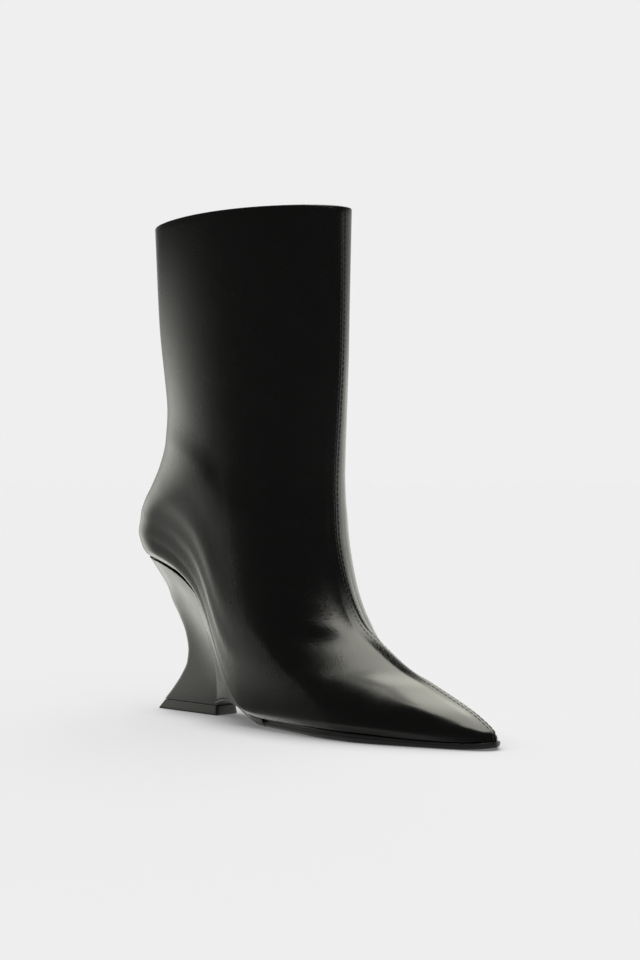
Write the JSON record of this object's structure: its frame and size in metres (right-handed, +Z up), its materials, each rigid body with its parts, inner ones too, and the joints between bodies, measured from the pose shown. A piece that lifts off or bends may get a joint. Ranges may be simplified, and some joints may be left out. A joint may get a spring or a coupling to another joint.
{
  "type": "wedge ankle boot",
  "caption": "Pointed leather ankle boot with a tall straight shaft, a raised front seam and a sculpted wedge heel, right foot.",
  "frame": {"origin": "middle of the boot's length and width, on the floor it stands on", "axes": "+X towards the toe, +Y towards the inner side of the foot, +Z up the shaft"},
  "size_m": [0.2544, 0.0704, 0.2761],
  "materials": {
    "upper_leather": "polished, fine grain",
    "wedge_leather": "polished, fine grain",
    "insole_leather": "matt, smooth",
    "sole_rubber": "satin edge, matt underside",
    "top_piece_rubber": "matt"
  },
  "bodies": {
    "root": {"upper": "upper_leather", "insole": "insole_leather", "outsole": "sole_rubber", "wedge_heel": "wedge_leather", "top_piece": "top_piece_rubber"}
  },
  "joints": []
}
